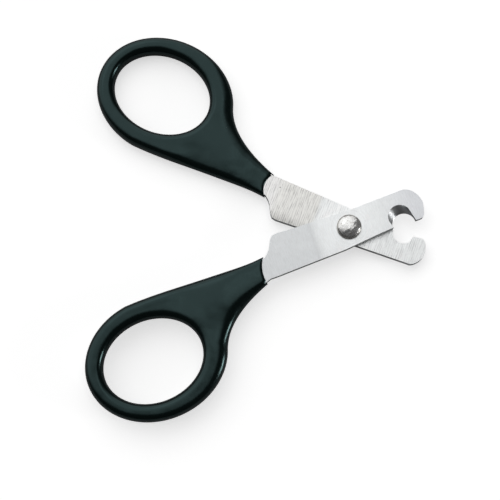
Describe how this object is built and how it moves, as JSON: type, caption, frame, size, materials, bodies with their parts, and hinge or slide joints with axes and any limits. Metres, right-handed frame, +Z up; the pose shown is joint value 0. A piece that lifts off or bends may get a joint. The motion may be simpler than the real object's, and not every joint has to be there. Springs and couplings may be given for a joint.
{
  "type": "scissor nail clipper",
  "caption": "Small claw scissors for pets: two riveted steel levers with hooked notches that close on a claw, and dipped black finger loops.",
  "frame": {"origin": "on the pivot axis, at the flat face of the rivet's tail, which the clipper rests on", "axes": "+X from the pivot towards the blade tips, midway between the levers; +Y towards the rear lever's finger loop; +Z up along the pivot axis, out of the rivet's head"},
  "size_m": [0.0845, 0.0994, 0.0075],
  "materials": {
    "brushed_stainless": "ground across the blade, satin",
    "black_vinyl": "glossy dipped coat",
    "bright_rivet_steel": "polished",
    "washer_steel": "plain"
  },
  "bodies": {
    "rear_lever": {"rear_blade": "brushed_stainless", "rear_grip": "black_vinyl", "pivot_rivet": "bright_rivet_steel", "rivet_washer": "washer_steel"},
    "front_lever": {"front_blade": "brushed_stainless", "front_grip": "black_vinyl"}
  },
  "joints": [
    {"name": "pivot", "type": "hinge", "parent": "rear_lever", "child": "front_lever", "pos_m": [0, 0, 0.0036], "axis": [0, 0, 1], "range_deg": [-38, 90]}
  ]
}
